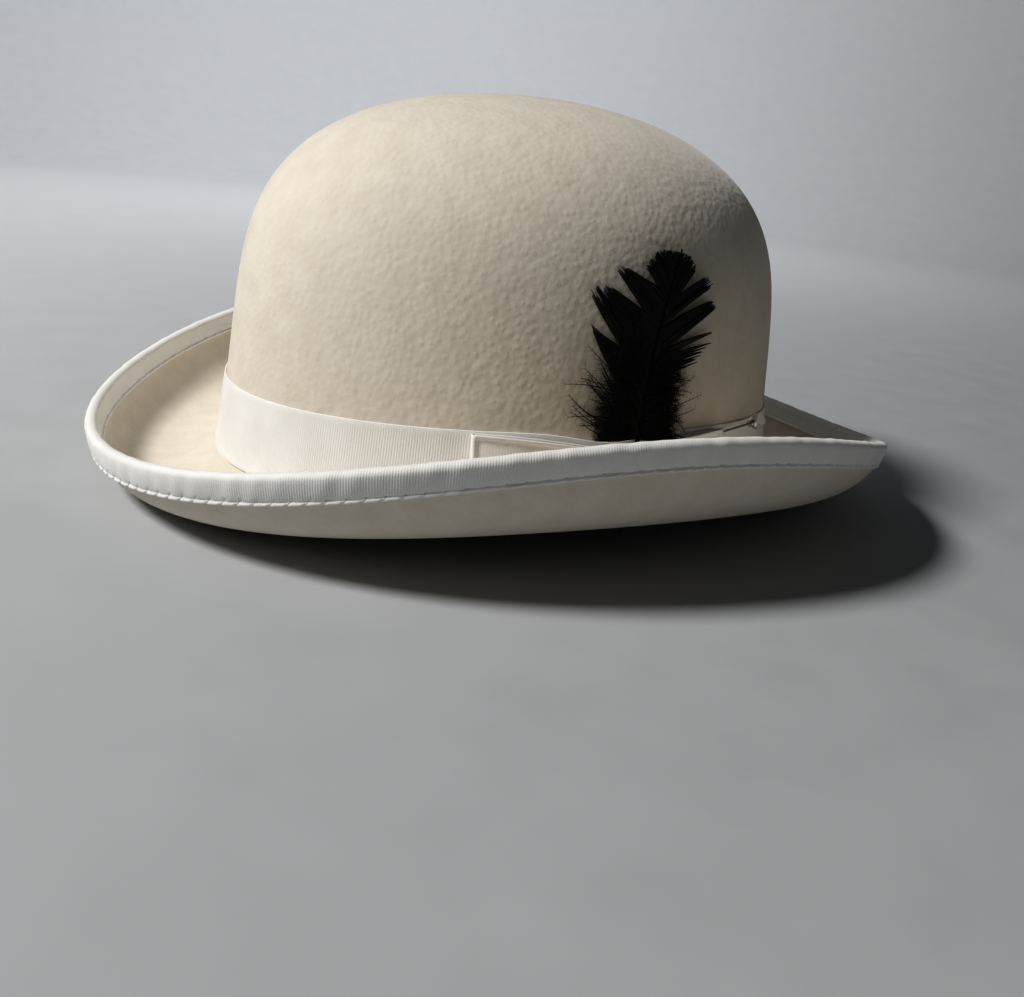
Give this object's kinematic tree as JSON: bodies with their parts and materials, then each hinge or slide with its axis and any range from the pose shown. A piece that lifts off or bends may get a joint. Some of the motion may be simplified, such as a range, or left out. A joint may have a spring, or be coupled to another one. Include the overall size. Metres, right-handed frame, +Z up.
{
  "type": "bowler hat",
  "caption": "Felt bowler hat with a domed crown, a curled bound brim, a ribbon band with a flat side bow, a feather and a ball-headed hat pin.",
  "frame": {"origin": "centre of the head opening, on the plane that the front and back of the brim rest on", "axes": "+Z up through the crown, -Y towards the front of the hat, +X towards the wearer's left, the side with the bow"},
  "size_m": [0.2478, 0.2912, 0.1312],
  "materials": {
    "felt": "brushed wool felt",
    "binding_ribbon": "ribbed grosgrain",
    "band_ribbon": "ribbed grosgrain",
    "binding_thread": "matt thread",
    "leather": "smooth tan leather",
    "reed": "extruded reed",
    "reed_tape": "plain tape",
    "satin": "satin",
    "cord": "twisted cord",
    "pin_steel": "darkened steel",
    "pin_collar": "polished steel",
    "pin_glass": "clear",
    "quill": "dyed feather shaft",
    "feather": "dyed barbs"
  },
  "bodies": {
    "hat": {"felt_body": "felt", "brim_binding": "binding_ribbon", "binding_stitches": "binding_thread", "hatband": "band_ribbon", "band_tacks": "binding_thread", "sweatband": "leather", "sweatband_reed": "reed", "reed_tape": "reed_tape", "sweatband_stitches": "binding_thread", "sweatband_seam_tape": "reed_tape", "sweatband_bow": "band_ribbon", "lining_side": "satin", "lining_tip": "satin", "lining_cord": "cord", "bow_front_wing": "band_ribbon", "bow_rear_wing": "band_ribbon", "bow_knot": "band_ribbon"},
    "pin": {"pin_shaft": "pin_steel", "pin_collar": "pin_collar", "pin_head": "pin_glass"},
    "feather": {"feather_quill": "quill", "feather_front_vane": "feather", "feather_rear_vane": "feather", "feather_down": "feather"}
  },
  "joints": [
    {"name": "pin_slide", "type": "slide", "parent": "hat", "child": "pin", "axis": [-0.2088, 0.9718, 0.1097], "range_m": [0, 0.028]},
    {"name": "feather_slide", "type": "slide", "parent": "hat", "child": "feather", "axis": [-0.1158, 0.2201, 0.9686], "range_m": [0, 0.018]}
  ]
}
